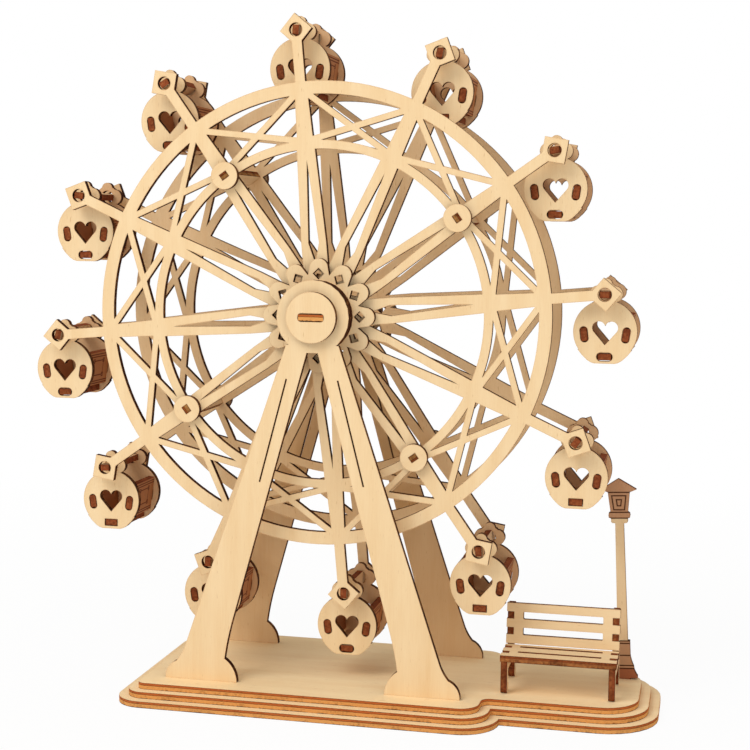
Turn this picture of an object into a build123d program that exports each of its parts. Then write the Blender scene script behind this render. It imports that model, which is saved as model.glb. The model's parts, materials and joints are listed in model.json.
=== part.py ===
from build123d import *
import os
from math import acos, atan2, cos, degrees, hypot, pi, radians, sin

# Crank ferris wheel toy, cut from thin plywood sheet and slotted together. Each
# gondola is one glued car: its tabs are flush, and the joints in it are left out.
# Millimetres. X runs along the base, Y to the rear, Z up. The origin lies on the
# underside of the base, straight below the axle. The front of the toy faces -Y.

os.makedirs("parts", exist_ok=True)

# ---- sheet and fits ----
ply = 3.0                    # thickness of the plywood sheet
tab_play = 0.05              # clearance on each side of a tab in its slot
loose_play = 0.30            # the same in the looser slots of gondola, bench and lamp
running_play = 0.09          # radial clearance of a turning journal in its bore
side_play = 0.20             # gap between a fixed piece and one that turns beside it

# ---- sides of the polygons that stand for round outlines ----
ring_facets = 36             # rings of the wheel
round_facets = 24            # frame heads, bearings, caps
small_facets = 10            # washers, grip and its stop
bore_facets = 8              # holes of the hanger bars

# ---- base of stepped layers ----
base_layers = 3
step_out = 4.5               # how far each lower layer stands out past the one above
deck_left, deck_right = -80.5, 79.5
deck_half_depth = 47.5
wing_right = 149.0           # end of the narrower wing that carries bench and lamp
wing_half_depth = 30.0
deck_left_radius = 4.0
deck_right_radius = 9.0
waist_radius = 4.0           # inner corner between deck and wing
wing_radius = 17.0

# ---- wheel discs ----
hours = 12
clocking = 5.48              # turn of the spokes against the axle, degrees
disc_gap = 39.4              # clear width between the two discs
pivot_radius = 130.0         # hub to gondola pivots
pivot_bore = 6.2
rim_inner, rim_outer = 100.7, 106.6
band_inner, band_outer = 76.0, 80.0
spoke_width, spoke_reach = 11.8, 34.0
spoke_neck_width = 8.4
slit_inner, slit_kink, slit_outer = 24.0, 33.4, 71.4
slit_width = 5.0
strut_inner_width, strut_outer_width = 7.8, 5.9
brace_width = 2.8
brace_outer_radius, brace_outer_angle = 102.1, 0.9
brace_inner_radius, brace_inner_angle = 79.9, 29.0
arm_width = 4.7
lug_side = 10.6

# ---- flower plates ----
petal_tip, petal_shoulder, petal_notch = 26.4, 23.6, 19.3
petal_width = 8.2
eyelet_side = 3.8
eyelet_radius = 19.4

# ---- axle, caps and bearings ----
axle_width = 11.6
cap_radius = 11.6
frame_gap = 66.0             # clear width between the two frames
bearing_plies = 2
bearing_radius = 16.5

# ---- tie rods between the discs ----
rod_count = 4
rod_radius = 78.0            # hub to rods
rod_width = 7.0
peg_width = 3.8
washer_radius = 6.3

# ---- A-shaped frames, heights above the deck and drops below the axle ----
head_radius = 16.8
neck_half, neck_drop = 12.3, 12.6
crotch_half, crotch_drop = 2.6, 16.2
ankle_x, ankle_height = 60.5, 16.0
outer_pinch_x, outer_pinch_height = 64.7, 8.5
outer_heel_x, outer_heel_height = 68.9, 5.0
outer_toe_x, inner_toe_x = 70.2, 35.2
inner_heel_x, inner_heel_height = 36.8, 6.2
inner_pinch_x, inner_pinch_height = 41.2, 11.0
shin_x, shin_height = 37.5, 29.0
groove_width = 0.7
groove_top_x, groove_top_drop = 12.0, 28.3
groove_foot_x, groove_foot_drop = 24.5, 76.2
foot_tab_x, foot_tab_width = 52.8, 12.0

# ---- gondolas, drops below the pivot ----
gondola_width = 30.0         # over the two end plates
ear_radius = 7.2
belly_radius, belly_drop = 14.2, 16.8
hip_x, hip_drop = 12.0, 25.0
keel_half, keel_drop = 5.3, 31.1
keel_clearance = 10.5        # lowest gondola above the deck
ear_facets, belly_facets = 4, 3
heart_side = ((0, -13.9), (2.4, -12.1), (5.2, -13.6), (5.6, -17.1), (0, -22.8))
wall_x, wall_drop = 9.3, 18.2
wall_tilt = 8.0
wall_down, wall_up = 7.4, 9.0
floor_drop = 28.1
floor_width = 13.0

# ---- hanger bars ----
bar_width = 4.4
bar_waist = 6.8              # wider middle that keeps the end plates apart
bar_turns = (80, 10, 0, 55, 95, 90, 88, 4, 78, -8, 32, 86)   # lie of each bar, 1 to 12 o'clock

# ---- crank ----
crank_reach = 26.0
crank_turn = 180.0           # direction of the arm at rest, degrees
crank_hub_radius, crank_end_radius = 9.0, 6.0
pin_width = 4.2
grip_plies = 5
grip_radius, stop_radius = 6.6, 5.5

# ---- bench ----
bench_left, bench_right = 86.2, 139.0
bench_front, bench_rear = -21.8, -1.6
bench_inset = 0.4            # side frames lie this far in from the ends of the seat
seat_height = 27.2
slit_margin, seat_slit_width = 7.3, 0.8
seat_slit_y = (-14.3, -5.5)
seat_tab_y = (-15.2, -6.3)
bench_tab_width = 3.2
leg_width = 3.6
rail_depth = 4.0
knee_y, rear_foot_y = 3.4, 10.6
back_gap = 0.3
back_lean = 6.0
back_height = 19.0
back_slot_rise = (5.9, 13.3)
back_slot_height, back_slot_margin = 3.4, 7.8

# ---- lamp post, heights above the deck ----
lamp_left, lamp_rear = 133.8, 20.0
lamp_lean = 3.1
lamp_tab_width = 6.0
lamp_foot_half, lamp_foot_rim = 6.6, 1.0
lamp_flare = ((5.4, 3.0), (4.9, 5.5))
lamp_stem = ((4.5, 6.4), (3.4, 11.0), (3.4, 18.0), (2.4, 18.0), (2.0, 74.5))
lamp_collars = ((3.9, 75.0), (3.9, 77.0), (4.9, 77.0), (4.9, 80.0))
lamp_lantern = ((4.1, 80.0), (5.1, 89.3), (8.3, 90.6), (0, 95.7))

# ---- places worked out from the sizes above ----
deck_top = base_layers * ply
hub_height = deck_top + keel_clearance + keel_drop + pivot_radius
hour_step = 360 / hours
band_middle = (band_inner + band_outer) / 2
rim_middle = (rim_inner + rim_outer) / 2
disc_inner = disc_gap / 2
disc_outer = disc_inner + ply
flower_outer = disc_outer + ply
frame_inner = frame_gap / 2
frame_outer = frame_inner + ply
frame_middle = frame_inner + ply / 2
bearing_inner = frame_inner - bearing_plies * ply
cap_inner = frame_outer + side_play
cap_outer = cap_inner + ply
arm_outer = cap_outer + ply
grip_inner = arm_outer + side_play
grip_outer = grip_inner + grip_plies * ply
stop_inner = grip_outer + side_play
stop_outer = stop_inner + ply
bearing_bore = hypot(axle_width, ply) / 2 + running_play
grip_bore = hypot(pin_width, ply) / 2 + running_play
gondola_outer = gondola_width / 2
gondola_inner = gondola_outer - ply
rod_angle = clocking + hour_step
ground = deck_top - hub_height           # the deck as seen from the axle
lamp_tab_x = lamp_left + lamp_foot_half * cos(radians(lamp_lean)) + ply / 2 * sin(radians(lamp_lean))


def upright(rear_y, height=0.0, across=0.0, turn=0.0):
    """Upright plane facing the front, its X to the right and turned about its centre."""
    right = (cos(radians(turn)), 0, sin(radians(turn)))
    return Plane(origin=(across, rear_y, height), x_dir=right, z_dir=(0, -1, 0))


def hub_plane(rear_y):
    """Upright plane centred on the axle."""
    return upright(rear_y, hub_height)


def polar(radius, angle):
    """Point at a radius and an angle in degrees."""
    return (radius * cos(radians(angle)), radius * sin(radians(angle)))


def taper(near, far, near_width, far_width):
    """Adds a straight strip along X whose width changes evenly from end to end."""
    near_side, far_side = near_width / 2, far_width / 2
    Polygon((near, -near_side), (far, -far_side), (far, far_side), (near, near_side), align=None)


def strip(start, end, width, mode=Mode.ADD):
    """Adds or cuts a straight strip of even width between two points."""
    run = Vector(*end) - Vector(*start)
    middle = (Vector(*start) + Vector(*end)) * 0.5
    with Locations(Location((middle.X, middle.Y, 0), (0, 0, degrees(atan2(run.Y, run.X))))):
        Rectangle(run.length, width, mode=mode)


def cut_slot(width, play, turn=0.0):
    """Cuts the slot for a tab of the sheet's thickness."""
    Rectangle(width + 2 * play, ply + 2 * play, rotation=turn, mode=Mode.SUBTRACT)


def round_plate(radius, facets, mode=Mode.ADD):
    """Adds or cuts a round outline as a polygon that lies evenly about the true radius."""
    RegularPolygon(2 * radius / (1 + cos(pi / facets)), facets, mode=mode)


def cut_bore(radius, facets):
    """Cuts a round hole as a polygon whose sides touch the true radius."""
    RegularPolygon(radius, facets, major_radius=False, mode=Mode.SUBTRACT)


def cut_axle_cross():
    """Cuts the crossed slots that key a plate to the axle."""
    cut_slot(axle_width, tab_play)
    cut_slot(axle_width, tab_play, turn=90)


# ======== base ========

with BuildSketch() as deck:
    with Locations(((deck_left + deck_right) / 2, 0)):
        Rectangle(deck_right - deck_left, 2 * deck_half_depth)
    with Locations(((deck_right + wing_right) / 2, 0)):
        Rectangle(wing_right - deck_right, 2 * wing_half_depth)
    left_corners, waist_corners, wing_corners = deck.vertices().group_by(Axis.X)
    waist_rows = waist_corners.group_by(Axis.Y)
    fillet(left_corners, deck_left_radius)
    fillet(waist_rows[0] + waist_rows[-1], deck_right_radius)
    fillet(waist_rows[1] + waist_rows[-2], waist_radius)
    fillet(wing_corners, wing_radius)

with BuildPart() as base_top:
    with BuildSketch(Plane.XY.offset(deck_top - ply)):
        add(deck.sketch)
        with GridLocations(2 * foot_tab_x, 2 * frame_middle, 2, 2):
            cut_slot(foot_tab_width, tab_play)
        with Locations((lamp_tab_x, lamp_rear - ply / 2)):
            cut_slot(lamp_tab_width, loose_play)
    extrude(amount=ply)
base_top.part.label = "base_top"
export_step(base_top.part, "parts/base_top.step")

with BuildPart() as base_middle:
    with BuildSketch(Plane.XY.offset(deck_top - 2 * ply)):
        add(deck.sketch)
        offset(amount=step_out)
    extrude(amount=ply)
base_middle.part.label = "base_middle"
export_step(base_middle.part, "parts/base_middle.step")

with BuildPart() as base_bottom:
    with BuildSketch():
        add(deck.sketch)
        offset(amount=2 * step_out)
    extrude(amount=deck_top - 2 * ply)
base_bottom.part.label = "base_bottom"
export_step(base_bottom.part, "parts/base_bottom.step")


# ======== frames and their bearings ========

with BuildSketch() as frame_face:
    round_plate(head_radius, round_facets)
    shin_foot = (shin_x, ground + shin_height)
    gap_top = [(crotch_half, -crotch_drop), (-crotch_half, -crotch_drop)]
    Polygon((-shin_x, shin_foot[1]), shin_foot, *gap_top, align=None, mode=Mode.SUBTRACT)
    with BuildLine():
        crotch = Polyline((0, -neck_drop), (0, -crotch_drop), (crotch_half, -crotch_drop))
        shin = Line(crotch @ 1, shin_foot)
        calf = TangentArc(shin @ 1, (inner_pinch_x, ground + inner_pinch_height), tangent=shin % 1)
        heel = ThreePointArc(calf @ 1, (inner_heel_x, ground + inner_heel_height), (inner_toe_x, ground))
        sole = Line(heel @ 1, (outer_toe_x, ground))
        instep = (outer_heel_x, ground + outer_heel_height)
        toe = ThreePointArc(sole @ 1, instep, (outer_pinch_x, ground + outer_pinch_height))
        flank = Line((neck_half, -neck_drop), (ankle_x, ground + ankle_height))
        TangentArc(flank @ 1, toe @ 1, tangent=flank % 1)
        Line(flank @ 0, crotch @ 0)
    make_face()
    with Locations((foot_tab_x, ground - ply / 2)):
        Rectangle(foot_tab_width, ply)
    strip((groove_top_x, -groove_top_drop), (groove_foot_x, -groove_foot_drop), groove_width, Mode.SUBTRACT)
    mirror(about=Plane.YZ)
    Circle(bearing_bore, mode=Mode.SUBTRACT)

with BuildPart() as front_frame:
    with BuildSketch(hub_plane(-frame_inner)):
        add(frame_face.sketch)
    extrude(amount=ply)
front_frame.part.label = "front_frame"
export_step(front_frame.part, "parts/front_frame.step")

with BuildPart() as rear_frame:
    with BuildSketch(hub_plane(frame_outer)):
        add(frame_face.sketch)
    extrude(amount=ply)
rear_frame.part.label = "rear_frame"
export_step(rear_frame.part, "parts/rear_frame.step")

with BuildPart() as front_bearing:
    with BuildSketch(hub_plane(-bearing_inner)):
        round_plate(bearing_radius, round_facets)
        cut_bore(bearing_bore, round_facets)
    extrude(amount=bearing_plies * ply)
front_bearing.part.label = "front_bearing"
export_step(front_bearing.part, "parts/front_bearing.step")

with BuildPart() as rear_bearing:
    with BuildSketch(hub_plane(frame_inner)):
        round_plate(bearing_radius, round_facets)
        cut_bore(bearing_bore, round_facets)
    extrude(amount=bearing_plies * ply)
rear_bearing.part.label = "rear_bearing"
export_step(rear_bearing.part, "parts/rear_bearing.step")


# ======== wheel discs: rings, split spokes, crossed braces and gondola lugs ========

with BuildSketch() as disc_face:
    with Locations(Rotation(0, 0, clocking)):
        round_plate(rim_outer, ring_facets)
        round_plate(rim_inner, ring_facets, Mode.SUBTRACT)
        round_plate(band_outer, ring_facets)
        round_plate(band_inner, ring_facets, Mode.SUBTRACT)
    with PolarLocations(0, hours, start_angle=clocking):
        taper(0, spoke_reach, spoke_width, spoke_width)
        taper(spoke_reach, band_middle, spoke_width, spoke_neck_width)
        taper(band_middle, rim_middle, strut_inner_width, strut_outer_width)
        taper(rim_middle, pivot_radius, arm_width, arm_width)
        outer_end = polar(brace_outer_radius, brace_outer_angle)
        inner_end = polar(brace_inner_radius, brace_inner_angle)
        strip(outer_end, inner_end, brace_width)
        outer_end = polar(brace_outer_radius, hour_step - brace_outer_angle)
        inner_end = polar(brace_inner_radius, hour_step - brace_inner_angle)
        strip(outer_end, inner_end, brace_width)
    with PolarLocations(pivot_radius, hours, start_angle=clocking):
        Rectangle(lug_side, lug_side, rotation=45)
        cut_bore(pivot_bore / 2, bore_facets)
    with PolarLocations(0, hours, start_angle=clocking):
        slit_low, slit_high = (slit_kink, -slit_width / 2), (slit_kink, slit_width / 2)
        Polygon((slit_inner, 0), slit_low, (slit_outer, 0), slit_high, align=None, mode=Mode.SUBTRACT)
    with PolarLocations(eyelet_radius, hours, start_angle=clocking):
        Rectangle(eyelet_side, eyelet_side, rotation=45, mode=Mode.SUBTRACT)
    with PolarLocations(rod_radius, rod_count, start_angle=rod_angle):
        cut_slot(peg_width, tab_play, turn=90)
    cut_axle_cross()

with BuildPart() as front_disc:
    with BuildSketch(hub_plane(-disc_inner)):
        add(disc_face.sketch)
    extrude(amount=ply)
front_disc.part.label = "front_disc"
export_step(front_disc.part, "parts/front_disc.step")

with BuildPart() as rear_disc:
    with BuildSketch(hub_plane(disc_outer)):
        add(disc_face.sketch)
    extrude(amount=ply)
rear_disc.part.label = "rear_disc"
export_step(rear_disc.part, "parts/rear_disc.step")


# ======== flower plates keyed to the axle outside the discs ========

with BuildSketch() as flower_face:
    with PolarLocations(0, hours):
        notch_low, notch_high = polar(petal_notch, -hour_step / 2), polar(petal_notch, hour_step / 2)
        shoulder_low, shoulder_high = (petal_shoulder, -petal_width / 2), (petal_shoulder, petal_width / 2)
        Polygon((0, 0), notch_low, shoulder_low, (petal_tip, 0), shoulder_high, notch_high, align=None)
    with PolarLocations(eyelet_radius, hours):
        Rectangle(eyelet_side, eyelet_side, rotation=45, mode=Mode.SUBTRACT)
    cut_axle_cross()

with BuildPart() as front_flower:
    with BuildSketch(hub_plane(-disc_outer)):
        add(flower_face.sketch)
    extrude(amount=ply)
front_flower.part.label = "front_flower"
export_step(front_flower.part, "parts/front_flower.step")

with BuildPart() as rear_flower:
    with BuildSketch(hub_plane(flower_outer)):
        add(flower_face.sketch)
    extrude(amount=ply)
rear_flower.part.label = "rear_flower"
export_step(rear_flower.part, "parts/rear_flower.step")


# ======== tie rods pegged through both discs, with a washer on each peg ========

with BuildPart() as tie_rods:
    with BuildSketch(hub_plane(disc_inner)):
        with PolarLocations(rod_radius, rod_count, start_angle=rod_angle):
            Rectangle(ply, rod_width)
    extrude(amount=disc_gap)
    with BuildSketch(hub_plane(flower_outer)):
        with PolarLocations(rod_radius, rod_count, start_angle=rod_angle):
            Rectangle(ply, peg_width)
    extrude(amount=2 * flower_outer)
tie_rods.part.label = "tie_rods"
export_step(tie_rods.part, "parts/tie_rods.step")

with BuildPart() as tie_rod_washers:
    for washer_rear in (-disc_outer, flower_outer):
        with BuildSketch(hub_plane(washer_rear)):
            with PolarLocations(rod_radius, rod_count, start_angle=rod_angle):
                round_plate(washer_radius, small_facets)
                cut_slot(peg_width, tab_play, turn=90)
        extrude(amount=ply)
tie_rod_washers.part.label = "tie_rod_washers"
export_step(tie_rod_washers.part, "parts/tie_rod_washers.step")


# ======== axle of two crossed strips, end caps ========

with BuildPart() as axle:
    with BuildSketch(hub_plane(arm_outer)):
        Rectangle(axle_width, ply)
    extrude(amount=arm_outer + cap_outer)
    with BuildSketch(hub_plane(frame_outer)):
        Rectangle(ply, axle_width)
    extrude(amount=2 * frame_outer)
axle.part.label = "axle"
export_step(axle.part, "parts/axle.step")

with BuildPart() as axle_caps:
    for cap_rear in (-cap_inner, cap_outer):
        with BuildSketch(hub_plane(cap_rear)):
            round_plate(cap_radius, round_facets)
            cut_slot(axle_width, tab_play)
        extrude(amount=ply)
axle_caps.part.label = "axle_caps"
export_step(axle_caps.part, "parts/axle_caps.step")


# ======== crank on the rear end of the axle ========

crank_end = polar(crank_reach, crank_turn)

with BuildPart() as crank_arm:
    with BuildSketch(hub_plane(arm_outer)):
        round_plate(crank_hub_radius, round_facets)
        with Locations(crank_end):
            round_plate(crank_end_radius, round_facets)
        make_hull()
        cut_slot(axle_width, tab_play)
        with Locations(crank_end):
            cut_slot(pin_width, tab_play)
    extrude(amount=ply)
crank_arm.part.label = "crank_arm"
export_step(crank_arm.part, "parts/crank_arm.step")

with BuildPart() as crank_pin:
    with BuildSketch(hub_plane(stop_outer)):
        with Locations(crank_end):
            Rectangle(pin_width, ply)
    extrude(amount=stop_outer - cap_outer)
crank_pin.part.label = "crank_pin"
export_step(crank_pin.part, "parts/crank_pin.step")

with BuildPart() as crank_grip:
    with BuildSketch(hub_plane(grip_outer)):
        with Locations(crank_end):
            round_plate(grip_radius, small_facets)
            Circle(grip_bore, mode=Mode.SUBTRACT)
    extrude(amount=grip_plies * ply)
crank_grip.part.label = "crank_grip"
export_step(crank_grip.part, "parts/crank_grip.step")

with BuildPart() as crank_stop:
    with BuildSketch(hub_plane(stop_outer)):
        with Locations(crank_end):
            round_plate(stop_radius, small_facets)
            cut_slot(pin_width, tab_play)
    extrude(amount=ply)
crank_stop.part.label = "crank_stop"
export_step(crank_stop.part, "parts/crank_stop.step")


# ======== gondolas and their hanger bars ========

def round_stretch(drop, radius, first, last, facets):
    """Corners of a faceted round stretch, with angles clockwise from straight up."""
    turns = [radians(first + (last - first) * step / facets) for step in range(facets + 1)]
    return [(radius * sin(turn), radius * cos(turn) - drop) for turn in turns]


ear_cosine = (belly_drop**2 + ear_radius**2 - belly_radius**2) / (2 * belly_drop * ear_radius)
ear_turn = degrees(acos(ear_cosine))
neck_cosine = (belly_drop**2 + belly_radius**2 - ear_radius**2) / (2 * belly_drop * belly_radius)
neck_turn = degrees(acos(neck_cosine))
hip_turn = degrees(atan2(hip_x, belly_drop - hip_drop))
ear_side = round_stretch(0, ear_radius, 0, 180 - ear_turn, ear_facets)
belly_side = round_stretch(belly_drop, belly_radius, neck_turn, hip_turn, belly_facets)
keel = [(hip_x, -hip_drop), (keel_half, -keel_drop), (0, -keel_drop)]

with BuildSketch() as gondola_face:
    with BuildLine():
        Polyline(*ear_side, *belly_side[1:-1], *keel, close=True)
    make_face()
    with BuildLine():
        Polyline(*heart_side, close=True)
    make_face(mode=Mode.SUBTRACT)
    mirror(about=Plane.YZ)
    cut_bore(pivot_bore / 2, bore_facets)

for hour in range(1, hours + 1):
    hour_angle = 90 + clocking - hour * hour_step
    pivot_x, pivot_z = polar(pivot_radius, hour_angle)
    pivot_z += hub_height

    with BuildPart() as car:
        for plate_rear in (-gondola_inner, gondola_outer):
            with BuildSketch(upright(plate_rear, pivot_z, pivot_x)):
                add(gondola_face.sketch)
            extrude(amount=ply)
        for side in (-1, 1):
            middle = (pivot_x + side * wall_x, 0, pivot_z - wall_drop)
            outward = (cos(radians(wall_tilt)), 0, -side * sin(radians(wall_tilt)))
            with BuildSketch(Plane(origin=middle, x_dir=(0, 1, 0), z_dir=outward)):
                with Locations((0, (wall_up - wall_down) / 2)):
                    Rectangle(2 * gondola_inner, wall_up + wall_down)
            extrude(amount=ply / 2, both=True)
        with BuildSketch(Plane(origin=(pivot_x, 0, pivot_z - floor_drop))):
            Rectangle(floor_width, 2 * gondola_inner)
        extrude(amount=ply / 2, both=True)
    car.part.label = f"gondola_{hour}_car"
    export_step(car.part, f"parts/gondola_{hour}_car.step")

    with BuildPart() as bar:
        bar_turn = bar_turns[(hour - 1) % len(bar_turns)]
        with BuildSketch(upright(disc_outer, pivot_z, pivot_x, bar_turn)):
            Rectangle(bar_width, ply)
        extrude(amount=2 * disc_outer)
        waist_half = gondola_inner - side_play
        with BuildSketch(upright(waist_half, pivot_z, pivot_x, bar_turn)):
            Rectangle(bar_waist, ply)
        extrude(amount=2 * waist_half)
    bar.part.label = f"hanger_bar_{hour}"
    export_step(bar.part, f"parts/hanger_bar_{hour}.step")


# ======== bench ========

bench_width = bench_right - bench_left
seat_under = seat_height - ply
bench_end_depth = ply + bench_inset + tab_play
back_foot = (bench_rear + back_gap, seat_height + back_gap)
lean_sin, lean_cos = sin(radians(back_lean)), cos(radians(back_lean))


def back_point(behind, rise):
    """Point (y, z) behind the front face of the leaning back, up along it."""
    point_y = back_foot[0] + behind * lean_cos + rise * lean_sin
    point_z = back_foot[1] - behind * lean_sin + rise * lean_cos
    return (point_y, point_z)


with BuildPart() as bench_seat:
    with BuildSketch(Plane.XY.offset(seat_under)):
        seat_middle = ((bench_left + bench_right) / 2, (bench_front + bench_rear) / 2)
        with Locations(seat_middle):
            Rectangle(bench_width, bench_rear - bench_front)
        for slit_y in seat_slit_y:
            with Locations((seat_middle[0], slit_y)):
                Rectangle(bench_width - 2 * slit_margin, seat_slit_width, mode=Mode.SUBTRACT)
        for tab_y in seat_tab_y:
            left_slot, right_slot = bench_left + bench_end_depth / 2, bench_right - bench_end_depth / 2
            with Locations((left_slot, tab_y), (right_slot, tab_y)):
                Rectangle(bench_end_depth, bench_tab_width + 2 * tab_play, mode=Mode.SUBTRACT)
    extrude(amount=ply)
bench_seat.part.label = "bench_seat"
export_step(bench_seat.part, "parts/bench_seat.step")

back_plane = Plane(origin=(bench_left, *back_foot), x_dir=(1, 0, 0), z_dir=(0, -lean_cos, lean_sin))
with BuildPart() as bench_back:
    with BuildSketch(back_plane):
        with Locations((bench_width / 2, back_height / 2)):
            Rectangle(bench_width, back_height)
        for rise in back_slot_rise:
            with Locations((bench_width / 2, rise)):
                Rectangle(bench_width - 2 * back_slot_margin, back_slot_height, mode=Mode.SUBTRACT)
            with Locations((bench_end_depth / 2, rise), (bench_width - bench_end_depth / 2, rise)):
                Rectangle(bench_end_depth, bench_tab_width + 2 * tab_play, mode=Mode.SUBTRACT)
    extrude(amount=-ply)
bench_back.part.label = "bench_back"
export_step(bench_back.part, "parts/bench_back.step")

with BuildSketch() as bench_side:
    side_front = bench_front + bench_inset
    front_leg = [(side_front, seat_under), (side_front, deck_top), (side_front + leg_width, deck_top)]
    rail = [(side_front + leg_width, seat_under - rail_depth), (knee_y, seat_under - rail_depth)]
    rear_foot = [(rear_foot_y - leg_width, deck_top), (rear_foot_y, deck_top)]
    post_rear = [back_point(ply + leg_width, 0), back_point(ply + leg_width, back_height)]
    post_front = [back_point(ply, back_height), back_point(ply, 0)]
    with BuildLine():
        post_root = (post_front[-1][0], seat_under)
        Polyline(*front_leg, *rail, *rear_foot, *post_rear, *post_front, post_root, close=True)
    make_face()
    with Locations(*[(tab_y, seat_height - ply / 2) for tab_y in seat_tab_y]):
        Rectangle(bench_tab_width, ply)
    for rise in back_slot_rise:
        with Locations(Location((*back_point(ply / 2, rise), 0), (0, 0, -back_lean))):
            Rectangle(ply, bench_tab_width)

with BuildPart() as bench_left_side:
    with BuildSketch(Plane.YZ.offset(bench_left + bench_inset)):
        add(bench_side.sketch)
    extrude(amount=ply)
bench_left_side.part.label = "bench_left_side"
export_step(bench_left_side.part, "parts/bench_left_side.step")

with BuildPart() as bench_right_side:
    with BuildSketch(Plane.YZ.offset(bench_right - bench_inset - ply)):
        add(bench_side.sketch)
    extrude(amount=ply)
bench_right_side.part.label = "bench_right_side"
export_step(bench_right_side.part, "parts/bench_right_side.step")


# ======== lamp post ========

with BuildSketch() as lamp_face:
    with BuildLine():
        foot = Polyline((0, 0), (lamp_foot_half, 0), (lamp_foot_half, lamp_foot_rim))
        ThreePointArc(foot @ 1, *lamp_flare)
        Polyline(lamp_flare[-1], *lamp_stem, *lamp_collars, *lamp_lantern)
        Line(lamp_lantern[-1], (0, 0))
    make_face()
    mirror(about=Plane.YZ)
    with Locations((0, -ply / 2)):
        Rectangle(lamp_tab_width, ply)

with BuildPart() as lamp_post:
    with BuildSketch(upright(lamp_rear, deck_top, lamp_left, lamp_lean)):
        with Locations((lamp_foot_half, 0)):
            add(lamp_face.sketch)
    extrude(amount=ply)
lamp_post.part.label = "lamp_post"
export_step(lamp_post.part, "parts/lamp_post.step")
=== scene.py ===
import json
from math import acos, asin, atan2, cos, hypot, pi, radians, sin, sqrt, tan

import bmesh
import bpy
from mathutils import Matrix, Vector
from mathutils.geometry import delaunay_2d_cdt

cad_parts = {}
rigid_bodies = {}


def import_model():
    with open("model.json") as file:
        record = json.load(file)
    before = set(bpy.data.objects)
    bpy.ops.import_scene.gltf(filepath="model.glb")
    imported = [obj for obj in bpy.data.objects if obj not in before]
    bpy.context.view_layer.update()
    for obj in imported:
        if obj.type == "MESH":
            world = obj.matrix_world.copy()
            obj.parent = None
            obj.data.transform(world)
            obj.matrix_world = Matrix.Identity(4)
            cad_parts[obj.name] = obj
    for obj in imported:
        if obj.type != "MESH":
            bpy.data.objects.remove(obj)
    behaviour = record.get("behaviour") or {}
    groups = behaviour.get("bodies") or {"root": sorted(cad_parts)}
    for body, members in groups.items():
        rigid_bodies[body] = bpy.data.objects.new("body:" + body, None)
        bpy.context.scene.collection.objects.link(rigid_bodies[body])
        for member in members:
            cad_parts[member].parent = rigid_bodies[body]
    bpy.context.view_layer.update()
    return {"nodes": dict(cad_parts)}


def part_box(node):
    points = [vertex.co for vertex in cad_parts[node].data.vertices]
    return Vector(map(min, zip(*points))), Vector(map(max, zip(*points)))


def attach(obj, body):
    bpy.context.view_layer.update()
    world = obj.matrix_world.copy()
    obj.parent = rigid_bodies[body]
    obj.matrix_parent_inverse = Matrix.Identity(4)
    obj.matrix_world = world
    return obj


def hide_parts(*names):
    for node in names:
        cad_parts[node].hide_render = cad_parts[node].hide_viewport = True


# Crank ferris wheel toy of thin birch plywood, cut by laser and slotted together.
# X runs along the base, Y to the rear, Z up. Objects are in metres, and the outlines
# that the sheets are cut to are in millimetres.

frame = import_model()
nodes = frame["nodes"]


# ======== camera ========
# A short telephoto lens 0.7 m in front of the toy, a little to its right and above the
# axle, with the slight roll that the edges of the base show.

camera_place = (0.17628, -0.69547, 0.22263)
camera_turn, camera_dip, camera_roll = radians(12.569), radians(5.675), radians(0.686)
lens_length, sensor_width = 72.74, 36.0

camera_lens = bpy.data.cameras.new("camera")
camera_lens.lens = lens_length
camera_lens.sensor_width = sensor_width
camera = bpy.data.objects.new("camera", camera_lens)
bpy.context.scene.collection.objects.link(camera)
heading = Matrix.Rotation(camera_turn, 4, "Z") @ Matrix.Rotation(pi / 2 - camera_dip, 4, "X")
heading = heading @ Matrix.Rotation(camera_roll, 4, "Z")
camera.matrix_world = Matrix.Translation(camera_place) @ heading
bpy.context.scene.camera = camera
bpy.context.scene.view_settings.view_transform = "Standard"


# ======== base ========
# Three stepped layers of 3 mm birch plywood glued in a pile, each standing out past the
# one above. The faces are pale. The cut shows the plies: reddish brown where the beam
# came in, golden below, with a burnt line at each glue joint and arris.

mm = 0.001
ply = 3.0
tab_play, loose_play = 0.05, 0.3
step_out = 4.5
deck_left, deck_right, deck_half_depth = -80.5, 79.5, 47.5
wing_right, wing_half_depth = 149.0, 30.0
deck_left_radius, deck_right_radius, waist_radius, wing_radius = 4.0, 9.0, 4.0, 17.0
sharpest = 0.5
foot_tab_x, foot_tab_y, foot_tab_width = 52.8, 34.5, 12.0
lamp_tab_x, lamp_tab_y, lamp_tab_width = 140.5, 18.5, 6.0


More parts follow.
